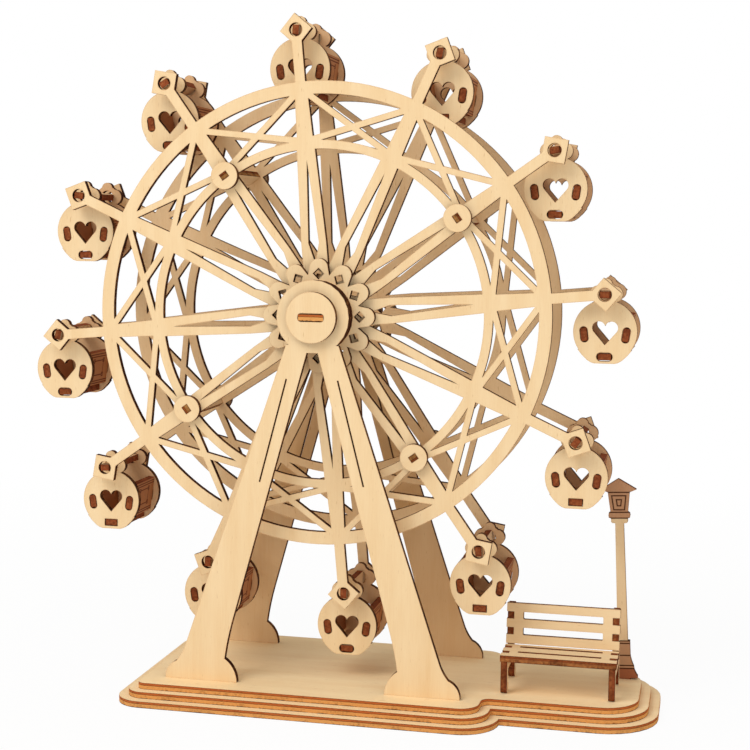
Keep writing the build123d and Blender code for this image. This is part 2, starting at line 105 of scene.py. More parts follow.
class Wire:
    """An output socket of a node tree. Arithmetic on wires adds Math nodes."""

    def __init__(self, tree, socket=None):
        self.tree = tree
        self.socket = socket

    def node(self, kind, settings=None, inputs=None, output=0):
        """Adds a node: first its settings and ramp stops, then its input values and links."""
        made = self.tree.nodes.new(kind)
        for name, value in (settings or {}).items():
            if name != "stops":
                setattr(made, name, value)
                continue
            points = made.color_ramp.elements
            while len(points) < len(value):
                points.new(1.0)
            for point, (place, colour) in zip(points, value):
                point.position = place
                point.color = (*colour, 1.0)
        for name, value in (inputs or {}).items():
            if isinstance(value, Wire):
                self.tree.links.new(value.socket, made.inputs[name])
            else:
                made.inputs[name].default_value = value
        return Wire(self.tree, made.outputs[output] if made.outputs else None)

    def math(self, operation, *others):
        """A Math node that starts from this wire."""
        inputs = dict(enumerate((self, *others)))
        return self.node("ShaderNodeMath", {"operation": operation}, inputs)

    def vector(self, operation, *others, output=0):
        """A Vector Math node that starts from this wire."""
        inputs = dict(enumerate((self, *others)))
        return self.node("ShaderNodeVectorMath", {"operation": operation}, inputs, output)

    def along(self, direction):
        """How far this place lies along a direction."""
        return self.vector("DOT_PRODUCT", direction, output="Value")

    def mix(self, first, second):
        """The colour this share of the way from the first to the second."""
        inputs = {0: self, 6: first, 7: second}
        return self.node("ShaderNodeMix", {"data_type": "RGBA"}, inputs, output=2)

    def clamp(self):
        return self.node("ShaderNodeClamp", {}, {"Value": self})

    def __add__(self, other):
        return self.math("ADD", other)

    def __sub__(self, other):
        return self.math("SUBTRACT", other)

    def __rsub__(self, other):
        return self * -1.0 + other

    def __mul__(self, other):
        return self.math("MULTIPLY", other)

    def __truediv__(self, other):
        return self.math("DIVIDE", other)

    def __abs__(self):
        return self.math("ABSOLUTE")

    def __gt__(self, other):
        return self.math("GREATER_THAN", other)

    __radd__ = __add__
    __rmul__ = __mul__


def light(red, green, blue):
    """Linear colour of a tone given on a screen, from 0 to 255."""
    shares = (value / 255 for value in (red, green, blue))
    return tuple(((share + 0.055) / 1.055) ** 2.4 for share in shares)


birch_pale = light(246, 220, 178)
birch_warm = light(234, 199, 150)
birch_fleck = light(200, 156, 106)
birch_shade = light(168, 96, 48)
smoke_brown = light(184, 120, 66)
cut_red = light(186, 100, 50)
cut_gold = light(224, 160, 92)
cut_toast = light(158, 82, 48)
cut_glue = light(92, 42, 20)
char_brown = light(58, 24, 11)

fibre_size, fibre_length = 0.35 * mm, 9.0 * mm
figure_size, figure_length = 7.0 * mm, 60.0 * mm
fleck_size, fleck_length = 0.6 * mm, 4.0 * mm
smoke_width, smoke_share = 0.9 * mm, 2.4
fibre_share, figure_share, tone_start = 0.7, 1.1, 0.48
fleck_start, fleck_contrast = 0.69, 5.0
puff_scale, ripple_scale, burn_scale = 420.0, 900.0, 160.0
seed_shifts = {"X": 0.037, "Y": 0.061, "Z": 0.023}
ply_waviness, edge_char, flat_limit = 0.16, 3.0, 0.7
relief_strength, relief_depth = 0.25, 0.08 * mm
wood_roughness, roughness_spread, wood_gloss = 0.6, 0.15, 0.05


def browned(colour, shade):
    """A shader's colour this share of the way from a dark brown to the given one; on shaded pieces
    this browning is painted shade.
    """
    return (*(brown + (own - brown) * shade for brown, own in zip(birch_shade, colour)), 1.0)


def plywood(name, across=(0, 0, -1), start=-ply * mm, grain=(0, 1, 0),
            shade=1.0, char=0.5, toast=0.0, marks=None):
    """Plywood whose thickness runs along across, from the side the beam came in at start.

    A shade below 1 browns the faces and one above 1 pales them: the browning is painted
    shade on the rear pieces and partly on the gondolas' walls, and the paling is painted light
    on the base. Of the cut, char is how dark it is burnt, partly painted shade where the
    sides face away from the key light, and toast how far heat has evened its plies.
    The function marks gives the burnt lines and tones of a face, from the place on the
    sheet, as pairs of a share and a colour.
    """
    material = bpy.data.materials.new(name)
    material.use_nodes = True
    tree = material.node_tree
    tree.nodes.clear()
    new = Wire(tree).node
    place = new("ShaderNodeTexCoord", output="Object")
    normal = new("ShaderNodeTexCoord", output="Normal")
    own_seed = {"attribute_type": "OBJECT", "attribute_name": "seed"}
    seed = new("ShaderNodeAttribute", own_seed, output="Fac") + len(bpy.data.materials)
    shifts = {axis: seed * shift for axis, shift in seed_shifts.items()}
    apart = new("ShaderNodeCombineXYZ", {}, shifts)
    spot = place.vector("ADD", apart)

    def grained(size, length, detail):
        """Noise drawn out along the grain, as features of that size and length."""
        squeeze = spot.along(grain) * (size / length - 1.0)
        shift = new("ShaderNodeVectorMath", {"operation": "SCALE"}, {0: grain, "Scale": squeeze})
        drawn = spot.vector("ADD", shift)
        inputs = {"Vector": drawn, "Scale": 1.0 / size, "Detail": detail}
        return new("ShaderNodeTexNoise", {}, inputs)

    level = ((place.along(across) - start) / (ply * mm)).math("FRACT")
    flat = abs(normal.along(across)) > flat_limit

    fibres = grained(fibre_size, fibre_length, 3.0)
    figure = grained(figure_size, figure_length, 2.0)
    flecks = grained(fleck_size, fleck_length, 1.0)
    tone = (fibres * fibre_share + figure * figure_share - tone_start).clamp()
    face = tone.mix(browned(birch_pale, shade), browned(birch_warm, shade))
    face = ((flecks - fleck_start) * fleck_contrast).clamp().mix(face, browned(birch_fleck, shade))
    softened = new("ShaderNodeBevel", {"samples": 4}, {"Radius": smoke_width})
    true_normal = new("ShaderNodeNewGeometry", output="True Normal")
    edge = 1.0 - softened.vector("DOT_PRODUCT", true_normal, output="Value")
    puffs = new("ShaderNodeTexNoise", {}, {"Vector": spot, "Scale": puff_scale, "Detail": 2.0})
    face = (edge * smoke_share * puffs).clamp().mix(face, browned(smoke_brown, shade))
    for share, tint in (marks(place) if marks else ()):
        face = share.clamp().mix(face, (*tint, 1.0))

    ripple = new("ShaderNodeTexNoise", {}, {"Vector": spot, "Scale": ripple_scale, "Detail": 2.0})
    burn = new("ShaderNodeTexNoise", {}, {"Vector": spot, "Scale": burn_scale, "Detail": 3.0})
    plies = [
        (0.00, char_brown), (0.07, cut_red), (0.30, cut_red), (0.37, cut_glue), (0.43, cut_gold),
        (0.90, cut_gold), (0.95, cut_glue), (1.00, char_brown),
    ]
    wavy_level = level + ripple * ply_waviness + burn * ply_waviness - ply_waviness
    cut = new("ShaderNodeValToRGB", {"stops": plies}, {"Fac": wavy_level})
    cut = (ripple * 0.5 + (toast * 1.25 - 0.25)).clamp().mix(cut, (*cut_toast, 1.0))
    scorch = burn * 0.9 + ripple * 0.8 - 0.85 + char + edge * edge_char * char
    cut = scorch.clamp().mix(cut, (*char_brown, 1.0))

    relief = flat * fibres * 0.4 + (1.0 - flat) * ripple
    bump_inputs = {"Strength": relief_strength, "Distance": relief_depth, "Height": relief}
    bump = new("ShaderNodeBump", {}, bump_inputs)
    inputs = {
        "Base Color": flat.mix(cut, face),
        "Roughness": wood_roughness + fibres * roughness_spread + (1.0 - flat) * roughness_spread,
        "Specular IOR Level": wood_gloss, "Normal": bump,
    }
    surface = new("ShaderNodeBsdfPrincipled", {}, inputs)
    new("ShaderNodeOutputMaterial", {}, {"Surface": surface})
    return material


def polar(radius, angle):
    """Point at a radius and an angle in degrees."""
    return (radius * cos(radians(angle)), radius * sin(radians(angle)))


def moved(outline, centre=(0, 0), angle=0.0):
    """The outline turned by an angle in degrees and then shifted to its centre."""
    turn_x, turn_y = polar(1, angle)
    turned = [(x * turn_x - y * turn_y, x * turn_y + y * turn_x) for x, y in outline]
    return [(centre[0] + x, centre[1] + y) for x, y in turned]


def box(width, height, centre=(0, 0), angle=0.0):
    """A rectangle about its centre."""
    half_width, half_height = width / 2, height / 2
    corners = [(-half_width, -half_height), (half_width, -half_height)]
    return moved(corners + [(-x, -y) for x, y in corners], centre, angle)


def rounded(corners, radii, steps=8):
    """The outline through corners, each rounded by an arc of its own radius."""
    outline = []
    for count, radius in enumerate(radii):
        corner = Vector(corners[count])
        back = (Vector(corners[count - 1]) - corner).normalized()
        ahead = (Vector(corners[(count + 1) % len(corners)]) - corner).normalized()
        half_angle = acos(max(-1.0, min(1.0, back.dot(ahead)))) / 2
        centre = corner + (back + ahead).normalized() * radius / sin(half_angle)
        start = corner + back * radius / tan(half_angle) - centre
        end = corner + ahead * radius / tan(half_angle) - centre
        first = atan2(start.y, start.x)
        sweep = (atan2(end.y, end.x) - first + pi) % (2 * pi) - pi
        turns = [first + sweep * step / steps for step in range(steps + 1)]
        arc = [(centre.x + radius * cos(turn), centre.y + radius * sin(turn)) for turn in turns]
        outline += arc
    return outline


same_point, even_angle, crease_angle = 1e-5, 0.5, 30


def cut_sheet(name, steps, thickness=ply):
    """Mesh of a sheet cut to an outline in its own X and Y, its thickness along Z.

    Each step is an outline and whether it adds wood or cuts it away, in that order.
    """
    corners, outlines = [], []
    for outline, adds in steps:
        outlines.append(range(len(corners), len(corners) + len(outline)))
        corners += [Vector(point) for point in outline]
    points, _, triangles, _, _, owners = delaunay_2d_cdt(corners, [], outlines, 1, same_point)
    sheet = bmesh.new()
    made = [sheet.verts.new((point.x * mm, point.y * mm, 0)) for point in points]
    for triangle, owner in zip(triangles, owners):
        if steps[max(owner)][1]:
            sheet.faces.new([made[corner] for corner in triangle])
    unused = [corner for corner in sheet.verts if not corner.link_faces]
    bmesh.ops.delete(sheet, geom=unused, context="VERTS")
    even = radians(even_angle)
    bmesh.ops.dissolve_limit(sheet, angle_limit=even, verts=sheet.verts, edges=sheet.edges)
    raised = bmesh.ops.extrude_face_region(sheet, geom=sheet.faces[:])["geom"]
    lifted = [part for part in raised if isinstance(part, bmesh.types.BMVert)]
    bmesh.ops.translate(sheet, vec=(0, 0, thickness * mm), verts=lifted)
    bmesh.ops.recalc_face_normals(sheet, faces=sheet.faces)
    mesh = bpy.data.meshes.new(name)
    sheet.to_mesh(mesh)
    sheet.free()
    mesh.shade_smooth()
    mesh.set_sharp_from_angle(angle=radians(crease_angle))
    return mesh


def lying(origin, along_x=(1, 0, 0), along_y=(0, 1, 0)):
    """Place of a sheet, from where its own origin, X and Y lie; its thickness runs along Z."""
    axis_x, axis_y = Vector(along_x), Vector(along_y)
    turn = Matrix((axis_x, axis_y, axis_x.cross(axis_y))).transposed().to_4x4()
    return Matrix.Translation(Vector(origin) * mm) @ turn


def piece(name, mesh, material, place, body, slot, stands_for):
    """Sets a cut sheet in its place, to move with a body and show a node of the part."""
    made = bpy.data.objects.new(name, mesh)
    bpy.context.scene.collection.objects.link(made)
    made.matrix_world = place
    made["seed"] = float(len(bpy.data.objects))
    if not mesh.materials:
        mesh.materials.append(material)
    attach(made, body)
    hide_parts(stands_for)
    return made


def layer_outline(out):
    """The outline of the base, stood out past its top layer."""
    left, right, wing = deck_left - out, deck_right + out, wing_right + out
    depth, wing_depth = deck_half_depth + out, wing_half_depth + out
    front_half = [(left, -depth), (right, -depth), (right, -wing_depth), (wing, -wing_depth)]
    waist = max(waist_radius - out, sharpest)
    radii = [deck_left_radius + out, deck_right_radius + out, waist, wing_radius + out]
    rear_half = [(x, -y) for x, y in reversed(front_half)]
    return rounded(front_half + rear_half, radii + radii[::-1])


deck_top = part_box("base_top")[1].z / mm
for count, layer in enumerate(("base_top", "base_middle", "base_bottom")):
    steps = [(layer_outline(count * step_out), True)]
    if layer == "base_top":
        foot_slot = (foot_tab_width + 2 * tab_play, ply + 2 * tab_play)
        places = [(x, y) for x in (-foot_tab_x, foot_tab_x) for y in (-foot_tab_y, foot_tab_y)]
        steps += [(box(*foot_slot, place), False) for place in places]
        lamp_slot = (lamp_tab_width + 2 * loose_play, ply + 2 * loose_play)
        steps.append((box(*lamp_slot, (lamp_tab_x, lamp_tab_y)), False))
    # A shade above 1 pales the base's faces: painted light that brightens the deck, which lies in
    # the wheel's soft shadow.
    wood = plywood(f"{layer}_plywood", grain=(1, 0, 0), shade=1.12, char=0.04)
    layer_mesh = cut_sheet(f"{layer}_layer", steps)
    underside = lying((0, 0, deck_top - (count + 1) * ply))
    piece(f"{layer}_layer", layer_mesh, wood, underside, "base", "base_ply", layer)


# ======== frames and bearings ========
# Two A-shaped frames with upright grain and a thin slit down each leg. Behind each head
# two more plies make the bearing that the axle turns in.


def dress(node, **sheet):
    """Gives a kept node of the part its plywood."""
    kept = nodes[node]
    kept.data.materials.clear()
    kept.data.materials.append(plywood(f"{node}_plywood", **sheet))


for upright in ("front_frame", "front_bearing", "rear_bearing", "rear_frame"):
    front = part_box(upright)[0].y
    # Pieces that lie behind the middle get browner faces: painted shade, as they sit behind the
    # front frame.
    painted_rear_shade = 1.0 if front < 0 else 0.84
    dress(upright, across=(0, 1, 0), start=front, grain=(0, 0, 1), shade=painted_rear_shade, char=0.95)


# ======== wheel discs ========
# The openwork discs: two rings, twelve split spokes that taper to the rim, crossed braces
# between the rings, and a square lug for each gondola. The beam has charred the edges
# dark, and their near-black colour is partly painted shade for cut sides turned from the key light.

axle_z = (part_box("front_disc")[0].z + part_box("front_disc")[1].z) / 2 / mm
hours, clocking = 12, 5.48
hour_step = 360 / hours
pivot_radius, pivot_bore = 130.0, 6.2
rim_inner, rim_outer = 100.7, 106.6
band_inner, band_outer = 76.0, 80.0
spoke_width, spoke_reach, spoke_neck_width = 11.8, 34.0, 8.4
slit_inner, slit_kink, slit_outer, slit_half = 24.0, 33.4, 71.4, 2.5
strut_inner_width, strut_outer_width = 7.8, 5.9
brace_width, brace_outer, brace_inner = 2.8, (102.1, 0.9), (79.9, 29.0)
arm_width, lug_side = 4.7, 10.6
eyelet_radius, eyelet_side = 19.4, 3.8
axle_width = 11.6
rod_count, rod_radius, peg_width = 4, 78.0, 3.8
rod_angle = clocking + hour_step
ring_sides, round_sides = 144, 48


def circle(radius, centre=(0, 0), sides=round_sides):
    return moved([polar(radius, 360 * side / sides) for side in range(sides)], centre)


def taper(near, far, near_width, far_width):
    """A straight strip along X whose width changes evenly."""
    near_half, far_half = near_width / 2, far_width / 2
    return [(near, -near_half), (far, -far_half), (far, far_half), (near, near_half)]


def strip(start, end, width):
    """A straight strip of even width between two points."""
    run_x, run_y = end[0] - start[0], end[1] - start[1]
    middle = ((start[0] + end[0]) / 2, (start[1] + end[1]) / 2)
    return box(hypot(run_x, run_y), width, middle, atan2(run_y, run_x) * 180 / pi)


def standing(rear_y, height, across=0.0, turn=0.0):
    """Place of an upright sheet that faces the front, by its rear face."""
    turn_x, turn_z = polar(1, turn)
    return lying((across, rear_y, height), (turn_x, 0, turn_z), (-turn_z, 0, turn_x))


def axle_cross():
    """Steps that cut the crossed slots of a plate keyed to the axle."""
    slot_length, slot_width = axle_width + 2 * tab_play, ply + 2 * tab_play
    return [(box(slot_length, slot_width), False), (box(slot_width, slot_length), False)]


def disc_steps():
    """Steps that cut a wheel disc."""
    rings = (rim_outer, True), (rim_inner, False), (band_outer, True), (band_inner, False)
    steps = [(circle(radius, sides=ring_sides), adds) for radius, adds in rings]
    band_middle, rim_middle = (band_inner + band_outer) / 2, (rim_inner + rim_outer) / 2
    mirrored_outer = (brace_outer[0], hour_step - brace_outer[1])
    mirrored_inner = (brace_inner[0], hour_step - brace_inner[1])
    spoke = [
        taper(0, spoke_reach, spoke_width, spoke_width),
        taper(spoke_reach, band_middle, spoke_width, spoke_neck_width),
        taper(band_middle, rim_middle, strut_inner_width, strut_outer_width),
        taper(rim_middle, pivot_radius, arm_width, arm_width),
        strip(polar(*brace_outer), polar(*brace_inner), brace_width),
        strip(polar(*mirrored_outer), polar(*mirrored_inner), brace_width),
        box(lug_side, lug_side, (pivot_radius, 0), 45),
    ]
    openings = [
        circle(pivot_bore / 2, (pivot_radius, 0)),
        [(slit_inner, 0), (slit_kink, -slit_half), (slit_outer, 0), (slit_kink, slit_half)],
        box(eyelet_side, eyelet_side, (eyelet_radius, 0), 45),
    ]
    angles = [clocking + hour * hour_step for hour in range(hours)]
    steps += [(moved(outline, angle=angle), True) for angle in angles for outline in spoke]
    steps += [(moved(outline, angle=angle), False) for angle in angles for outline in openings]
    for count in range(rod_count):
        slot = box(ply + 2 * tab_play, peg_width + 2 * tab_play, (rod_radius, 0))
        steps.append((moved(slot, angle=rod_angle + count * 360 / rod_count), False))
    return steps + axle_cross()


disc_mesh = cut_sheet("wheel_disc", disc_steps())
# The rear disc's browner faces are painted shade, as it lies behind the front disc.
for side, sheet, painted_rear_shade in (("front", disc_mesh, 1.0), ("rear", disc_mesh.copy(), 0.88)):
    wood = plywood(f"{side}_disc_plywood", shade=painted_rear_shade, char=0.97)
    rear_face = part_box(f"{side}_disc")[1].y / mm
    piece(f"{side}_wheel_disc", sheet, wood, standing(rear_face, axle_z),
          "wheel", "wheel_ply", f"{side}_disc")


# ======== flower plates ========
# Outside each disc, a plate of twelve rounded petals, each with a square eyelet stood on
# its corner.

petal_tip, petal_shoulder, petal_notch, petal_half = 26.4, 23.6, 19.3, 4.1


def petal():
    """Outline of one petal: straight flanks and an arc over the tip."""
    rise = petal_tip - petal_shoulder
    radius = (petal_half**2 + rise**2) / (2 * rise)
    reach = asin(min(1.0, petal_half / radius)) * 180 / pi
    arc = [polar(radius, reach * share / 4) for share in range(-4, 5)]
    tip = [(petal_tip - radius + x, y) for x, y in arc]
    return [(0, 0), polar(petal_notch, -hour_step / 2), *tip, polar(petal_notch, hour_step / 2)]


eyelet = box(eyelet_side, eyelet_side, (eyelet_radius, 0), 45)
turns = [hour * hour_step for hour in range(hours)]
flower_steps = [(moved(petal(), angle=turn), True) for turn in turns]
flower_steps += [(moved(eyelet, angle=turn), False) for turn in turns] + axle_cross()
flower_mesh = cut_sheet("flower_plate", flower_steps)
flower_wood = plywood("flower_plywood", shade=1.0, char=0.97)
for side in ("front", "rear"):
    rear_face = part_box(f"{side}_flower")[1].y / mm
    piece(f"{side}_flower_plate", flower_mesh, flower_wood, standing(rear_face, axle_z),
          "wheel", "wheel_ply", f"{side}_flower")


# ======== tie rods and washers ========
# Four flat rods hold the discs apart. Their pegs go through both discs, and a round
# washer is pushed over each.

rod_half, rod_width, peg_half = 19.7, 7.0, 25.7
washer_radius = 6.3

rod_outlines = box(2 * rod_half, rod_width), box(2 * peg_half, peg_width)
rod_mesh = cut_sheet("tie_rod", [(outline, True) for outline in rod_outlines])
washer_slot = box(ply + 2 * tab_play, peg_width + 2 * tab_play)
washer_mesh = cut_sheet("washer", [(circle(washer_radius), True), (washer_slot, False)])
rod_wood = plywood("tie_rod_plywood", grain=(1, 0, 0), shade=0.85, char=0.6)
washer_wood = plywood("washer_plywood", shade=1.0, char=0.9)
for count in range(rod_count):
    angle = rod_angle + count * 360 / rod_count
    centre_x, centre_z = polar(rod_radius, angle)
    outward = Vector((*polar(1, angle), 0)).xzy
    sideways = Vector((*polar(1, angle + 90), 0)).xzy
    inner_face = Vector((0, 0, axle_z)) + outward * (rod_radius - ply / 2)
    piece(f"tie_rod_{count + 1}", rod_mesh, rod_wood, lying(inner_face, (0, 1, 0), sideways),
          "wheel", "wheel_ply", "tie_rods")
    for side, rear_face in (("front", -peg_half + ply), ("rear", peg_half)):
        place = standing(rear_face, axle_z + centre_z, centre_x, angle)
        piece(f"{side}_washer_{count + 1}", washer_mesh, washer_wood, place,
              "wheel", "wheel_ply", "tie_rod_washers")


# ======== axle, caps and crank ========
# The axle's flat strip shows its golden end in the round-ended slot of each cap. At the
# rear a short arm carries a grip of five plies on a pin.

cap_radius, cap_slot, cap_faces = 11.6, (12.2, 3.8, 1.5), (-36.2, 39.2)
crank_x, pin_width = -26.0, 4.2
crank_hub_radius, crank_end_radius = 9.0, 6.0
grip_radius, grip_bore, stop_radius = 6.6, 2.63, 5.5


def soft_box(width, height, corner, centre=(0, 0), angle=0.0):
    """A rectangle with the rounded corners that the beam leaves."""
    return moved(rounded(box(width, height), [corner] * 4, 5), centre, angle)


cap_mesh = cut_sheet("axle_cap", [(circle(cap_radius), True), (soft_box(*cap_slot), False)])
cap_wood = plywood("axle_cap_plywood", shade=1.0, char=0.95)
for side, rear_face in zip(("front", "rear"), cap_faces):
    piece(f"{side}_axle_cap", cap_mesh, cap_wood, standing(rear_face, axle_z),
          "wheel", "axle_ply", "axle_caps")
axle_start = (-axle_z - ply / 2) * mm
dress("axle", across=(0, 0, -1), start=axle_start, grain=(0, 1, 0), shade=0.9, char=0.1)
dress("crank_pin", across=(0, 0, -1), start=axle_start, grain=(0, 1, 0), shade=0.9, char=0.3)

flare = asin((crank_hub_radius - crank_end_radius) / -crank_x) * 180 / pi
hub_flank, end_flank = polar(crank_hub_radius, 90 + flare), polar(crank_end_radius, 90 + flare)
hub_x, hub_z = hub_flank
end_x, end_z = end_flank[0] + crank_x, end_flank[1]
arm_sides = [(hub_x, -hub_z), (hub_x, hub_z), (end_x, end_z), (end_x, -end_z)]
pin_slot = (pin_width + 2 * tab_play, ply + 2 * tab_play)
arm_rounds = [circle(crank_hub_radius), circle(crank_end_radius, (crank_x, 0)), arm_sides]
arm_slots = [box(axle_width + 2 * tab_play, ply + 2 * tab_play), box(*pin_slot, (crank_x, 0))]
arm_steps = [(outline, True) for outline in arm_rounds]
arm_steps += [(outline, False) for outline in arm_slots]
grip_steps = [(circle(grip_radius), True), (circle(grip_bore), False)]
stop_steps = [(circle(stop_radius), True), (box(*pin_slot), False)]
turnings = (
    ("crank_arm", "bar", arm_steps, 0.0, "wheel"),
    ("crank_grip", "knob", grip_steps, crank_x, "grip"),
    ("crank_stop", "button", stop_steps, crank_x, "wheel"),
)
for node, shape, steps, across, body in turnings:
    front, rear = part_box(node)[0].y / mm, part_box(node)[1].y / mm
    wood = plywood(f"{node}_plywood", grain=(1, 0, 0), shade=0.95, char=0.6)
    piece(f"{node}_{shape}", cut_sheet(f"{node}_{shape}", steps, rear - front), wood,
          standing(rear, axle_z, across), body, "axle_ply", node)


# ======== gondolas ========
# Twelve cars, each of two end plates with a three-lobed ear and a heart, two side walls
# that lean outwards and a floor, all tabbed into loose slots with round ends. The walls
# carry burnt rails and panel lines. Gravity keeps each car plumb.

gondola_outer, gondola_inner = 15.0, 12.0
ear_lobes = ((3.7, (-3.7, 0.0)), (3.7, (3.7, 0.0)), (2.7, (0.0, 4.3)), (5.4, (0.0, 0.0)))
belly_radius, belly_drop, belly_sides = 14.18, 16.8, 96
hips = ((12.0, -25.0), (10.1, -27.4), (7.8, -29.6), (6.2, -30.6), (4.6, -31.1))
heart_lobe, heart_lobe_x, heart_lobe_drop, heart_point_drop = 2.9, 2.8, 15.1, 22.8
wall_x, wall_drop, wall_tilt = 9.3, 18.2, 8.0
wall_tab_height, wall_down, wall_up, tab_corner = 6.2, 7.4, 9.0, 0.4
wall_slot = (3.7, 7.2, 1.8)
floor_drop, floor_width, floor_tab_width = 28.1, 13.0, 6.0
floor_slot, square_slot, square_hours = (7.3, 4.0, 1.95), (6.7, 3.5, 0.3), (1, 4, 5, 8)
rail_heights, burnt_line = (7.9, 6.7, -5.4, -6.5), 0.3
panel_x, panel_low, panel_high, stud = 5.6, -2.6, 4.6, 1.6


def heart():
    """Outlines of the heart: its two lobes and the wedge that they taper to."""
    lobes = [circle(heart_lobe, (side * heart_lobe_x, -heart_lobe_drop)) for side in (-1, 1)]
    height = heart_point_drop - heart_lobe_drop
    reach = hypot(heart_lobe_x, height)
    flank = atan2(height, heart_lobe_x) - asin(heart_lobe / reach)
    length = sqrt(reach**2 - heart_lobe**2)
    side_x, side_z = length * cos(flank), length * sin(flank) - heart_point_drop
    wedge = [(0, -heart_point_drop), (side_x, side_z), (heart_lobe_x, -heart_lobe_drop)]
    return lobes + [wedge + [(-x, z) for x, z in reversed(wedge[1:])]]


def plate_steps(keyhole):
    """Steps that cut a gondola's end plate, from its pivot, with its own slot for the floor."""
    wood = [circle(radius, centre) for radius, centre in ear_lobes]
    wood.append(circle(belly_radius, (0, -belly_drop), belly_sides))
    wood.append([(-x, z) for x, z in hips] + list(reversed(hips)))
    openings = [circle(pivot_bore / 2), *heart(), soft_box(*keyhole, (0, -floor_drop))]
    for side in (-1, 1):
        openings.append(soft_box(*wall_slot, (side * wall_x, -wall_drop), -side * wall_tilt))
    return [(outline, True) for outline in wood] + [(outline, False) for outline in openings]


def burnt_share(distance, half_width):
    """Share of a burnt line with soft sides, from the distance to its middle."""
    return (1.3 - abs(distance) / half_width).clamp()


def outline_share(place, centre, half_width, half_height):
    """Share of a burnt line about a rectangle of the sheet."""
    from_side = abs(place.along((1, 0, 0)) / mm - centre[0]) - half_width
    from_top = abs(place.along((0, 1, 0)) / mm - centre[1]) - half_height
    return burnt_share(from_side.math("MAXIMUM", from_top), burnt_line)


def wall_marks(place):
    """Rails along a wall's top and foot, a panel between them and a stud at each corner."""
    height = place.along((0, 1, 0)) / mm
    lines = [burnt_share(height - rail, burnt_line) for rail in rail_heights]
    middle, half = (panel_low + panel_high) / 2, (panel_high - panel_low) / 2
    lines.append(outline_share(place, (0, middle), panel_x, half))
    studs = [(across, rise) for across in (-panel_x, panel_x) for rise in (panel_low, panel_high)]
    lines += [outline_share(place, centre, stud / 2, stud / 2) for centre in studs]
    outside = place.along((0, 0, 1)) > ply * mm / 2
    return [(line * outside, cut_glue) for line in lines]


wall_body = box(2 * gondola_inner, wall_up + wall_down, (0, (wall_up - wall_down) / 2))
wall_tabs = soft_box(2 * gondola_outer, wall_tab_height, tab_corner)
wall_mesh = cut_sheet("gondola_wall", [(wall_body, True), (wall_tabs, True)])
floor_body = box(floor_width, 2 * gondola_inner)
floor_tabs = soft_box(floor_tab_width, 2 * gondola_outer, tab_corner)
floor_mesh = cut_sheet("gondola_floor", [(floor_body, True), (floor_tabs, True)])
front_wood = plywood("gondola_front_plywood", shade=1.0, char=0.92)
# The rear plates' browner faces are painted shade, as they lie inside the car behind the front
# plates.
rear_wood = plywood("gondola_rear_plywood", shade=0.62, char=0.95)
# The walls' dark brown faces are partly a smoke-darkened tone and partly painted shade, as their
# outer faces turn away from the key light and their inner faces lie inside the car.
wall_wood = plywood("gondola_wall_plywood", grain=(1, 0, 0), shade=0.12, char=0.4, toast=0.75,
                    marks=wall_marks)
floor_wood = plywood("gondola_floor_plywood", shade=0.5, char=0.4, toast=0.75)
plate_meshes = {}
for keyhole in (floor_slot, square_slot):
    plate_meshes[keyhole, "front"] = cut_sheet("gondola_plate", plate_steps(keyhole))
    plate_meshes[keyhole, "rear"] = plate_meshes[keyhole, "front"].copy()

for hour in range(1, hours + 1):
    pivot_x, pivot_z = polar(pivot_radius, 90 + clocking - hour * hour_step)
    pivot_z += axle_z
    name, body, shows = f"gondola_{hour}", f"gondola_{hour}", ("gondola_ply", f"gondola_{hour}_car")
    keyhole = square_slot if hour in square_hours else floor_slot
    plates = ("front", -gondola_inner, front_wood), ("rear", gondola_outer, rear_wood)
    for side, rear_face, wood in plates:
        piece(f"{name}_{side}_plate", plate_meshes[keyhole, side], wood,
              standing(rear_face, pivot_z, pivot_x), body, *shows)
    for side, hand in ((-1, "left"), (1, "right")):
        lean_x, lean_z = polar(1, 90 - side * wall_tilt)
        up_the_wall = Vector((lean_x, 0, lean_z))
        run = Vector((0, side, 0))
        outward = run.cross(up_the_wall)
        inner_face = Vector((pivot_x + side * wall_x, 0, pivot_z - wall_drop)) - outward * ply / 2
        place = lying(inner_face, run, up_the_wall)
        piece(f"{name}_{hand}_wall", wall_mesh, wall_wood, place, body, *shows)
    under = (pivot_x, 0, pivot_z - floor_drop - ply / 2)
    piece(f"{name}_floor", floor_mesh, floor_wood, lying(under), body, *shows)


# ======== hanger bars ========
# A strip with a wider middle hangs loose in the holes of discs and gondola, so each bar
# lies at its own angle.

bar_width, bar_waist, bar_corner, side_play = 4.4, 6.8, 0.5, 0.2
bar_turns = (80, 10, 0, 55, 95, 90, 88, 4, 78, -8, 32, 86)

bar_ends = soft_box(2 * (rod_half + ply), bar_width, bar_corner)
bar_middle = box(2 * (gondola_inner - side_play), bar_waist)
bar_mesh = cut_sheet("hanger_bar", [(bar_ends, True), (bar_middle, True)])
bar_wood = plywood("hanger_bar_plywood", grain=(1, 0, 0), shade=0.6, char=0.4, toast=0.75)
for hour, turn in enumerate(bar_turns, 1):
    pivot_x, pivot_z = polar(pivot_radius, 90 + clocking - hour * hour_step)
    wide = Vector((*polar(1, turn), 0)).xzy
    through = Vector((0, 1, 0)).cross(wide)
    lowest = Vector((pivot_x, 0, pivot_z + axle_z)) - through * ply / 2
    piece(f"gondola_{hour}_bar", bar_mesh, bar_wood, lying(lowest, (0, 1, 0), wide), f"bar_{hour}",
          "bar_ply", f"hanger_bar_{hour}")


# ======== bench ========
# A seat with two sawn lines and a back with two slots, tabbed onto side frames whose
# cut edges and round feet, burnt browner than the wheel's, face the front.

